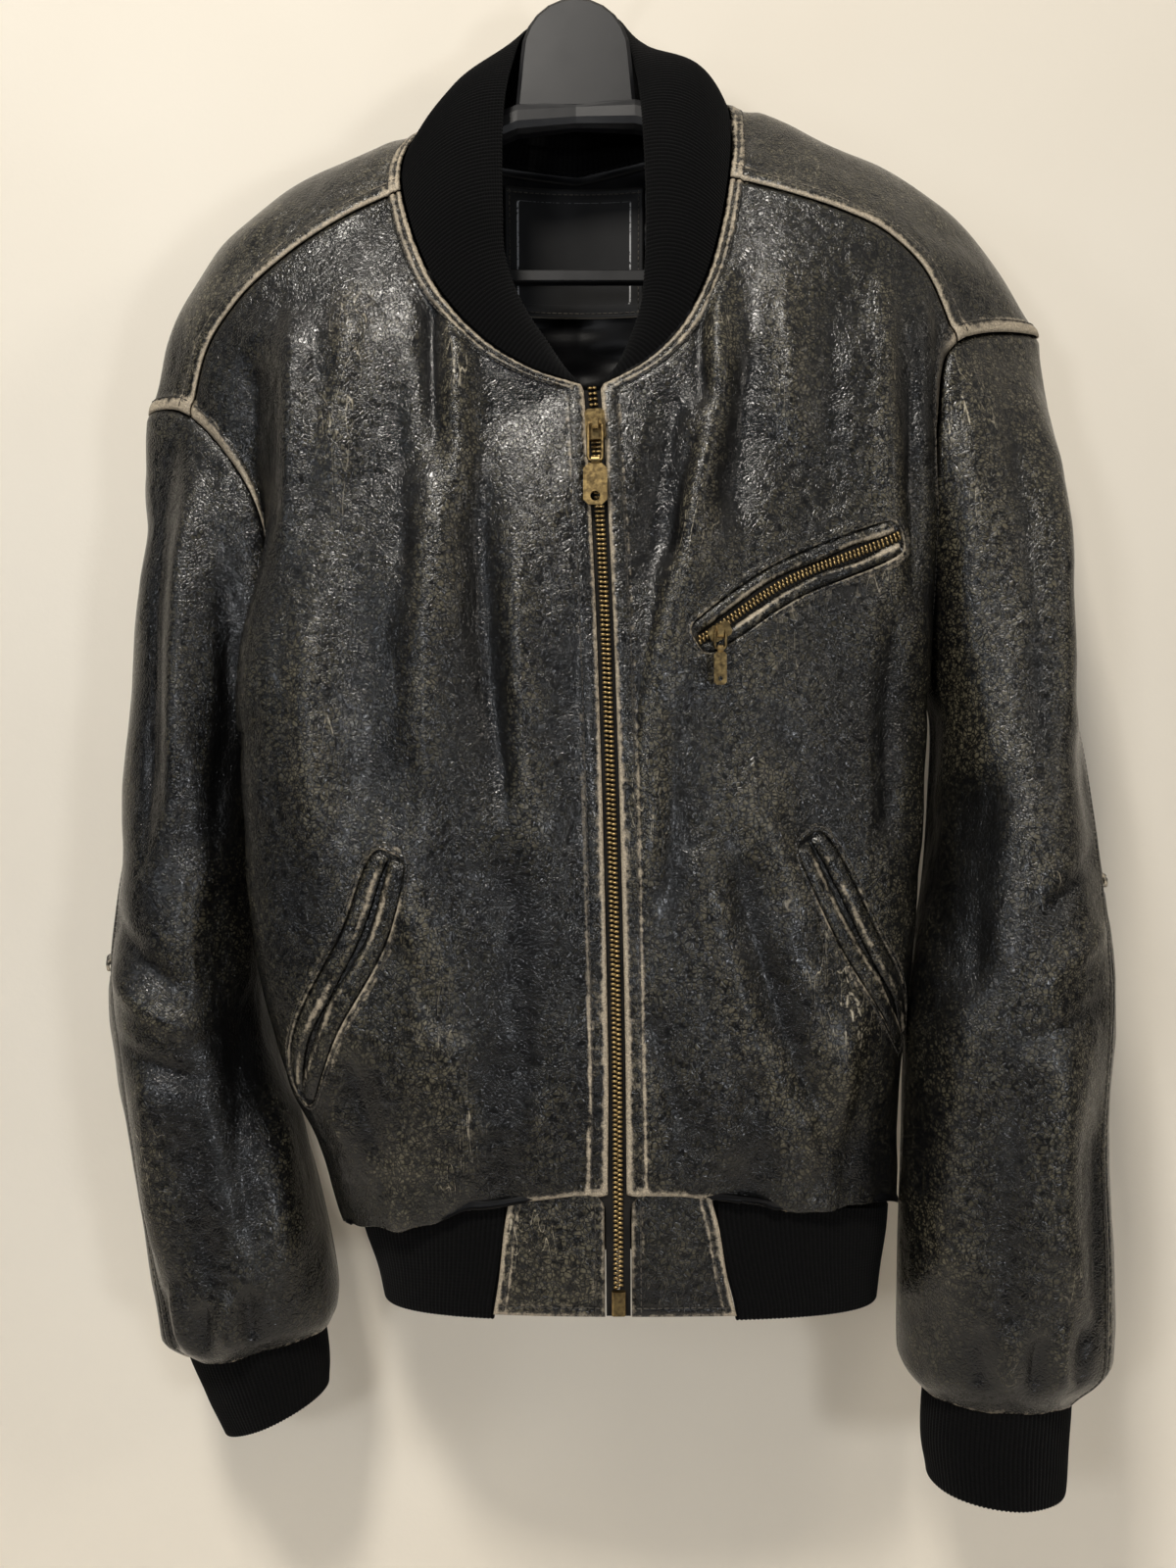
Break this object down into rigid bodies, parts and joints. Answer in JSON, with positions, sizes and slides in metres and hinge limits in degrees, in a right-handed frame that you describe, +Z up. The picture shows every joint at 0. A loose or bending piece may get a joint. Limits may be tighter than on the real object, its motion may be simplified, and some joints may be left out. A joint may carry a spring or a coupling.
{
  "type": "leather jacket on a hanger",
  "caption": "Waist-length leather jacket with knit collar, cuffs and waistband, closed by a front zip and held on a hanger with a hook for a rail.",
  "frame": {"origin": "top of the rail or peg inside the hanger's hook, where the hook hangs", "axes": "+Z up, -Y the way the jacket's front faces, +X towards the wearer's left sleeve"},
  "size_m": [0.569, 0.1674, 0.9208],
  "materials": {
    "leather": "worn, semi-gloss",
    "knit": "ribbed knit, matt",
    "satin": "satin",
    "patch": "matt",
    "tape": "woven, matt",
    "brass": "antique, dull",
    "plastic": "satin",
    "steel": "satin"
  },
  "bodies": {
    "jacket": {"back": "leather", "front_right": "leather", "front_left": "leather", "shoulder_right": "leather", "shoulder_left": "leather", "sleeve_right_front": "leather", "sleeve_left_front": "leather", "sleeve_right_back_upper": "leather", "sleeve_left_back_upper": "leather", "sleeve_right_back_lower": "leather", "sleeve_left_back_lower": "leather", "hem_tab_right": "leather", "hem_tab_left": "leather", "chest_lip_upper": "leather", "chest_lip_lower": "leather", "hand_right_lip_front": "leather", "hand_right_lip_side": "leather", "hand_left_lip_front": "leather", "hand_left_lip_side": "leather", "cuff_right": "knit", "cuff_left": "knit", "waistband": "knit", "collar": "knit", "lining_back": "satin", "label_patch": "patch", "zip_tape_right": "tape", "zip_tape_left": "tape", "zip_chain": "brass", "zip_teeth_right": "brass", "zip_teeth_left": "brass", "zip_box": "brass", "zip_slider": "brass", "chest_chain": "brass", "chest_slider": "brass", "hanger_frame": "plastic", "hanger_hook": "steel"},
    "zip_link": {"zip_link": "brass"},
    "zip_tab": {"zip_tab": "brass"},
    "chest_link": {"chest_link": "brass"},
    "chest_tab": {"chest_tab": "brass"}
  },
  "joints": [
    {"name": "zip_link_hinge", "type": "hinge", "parent": "jacket", "child": "zip_link", "pos_m": [0.01073, -0.08104, -0.337], "axis": [-1, 0, 0], "range_deg": [0, 110]},
    {"name": "zip_tab_hinge", "type": "hinge", "parent": "zip_link", "child": "zip_tab", "pos_m": [0.01073, -0.08261, -0.35694], "axis": [-1, 0, 0], "range_deg": [0, 80]},
    {"name": "chest_link_hinge", "type": "hinge", "parent": "jacket", "child": "chest_link", "pos_m": [0.075, -0.09418, -0.4475], "axis": [-1, 0, 0], "range_deg": [0, 110]},
    {"name": "chest_tab_hinge", "type": "hinge", "parent": "chest_link", "child": "chest_tab", "pos_m": [0.075, -0.09418, -0.4565], "axis": [-1, 0, 0], "range_deg": [0, 80]}
  ]
}
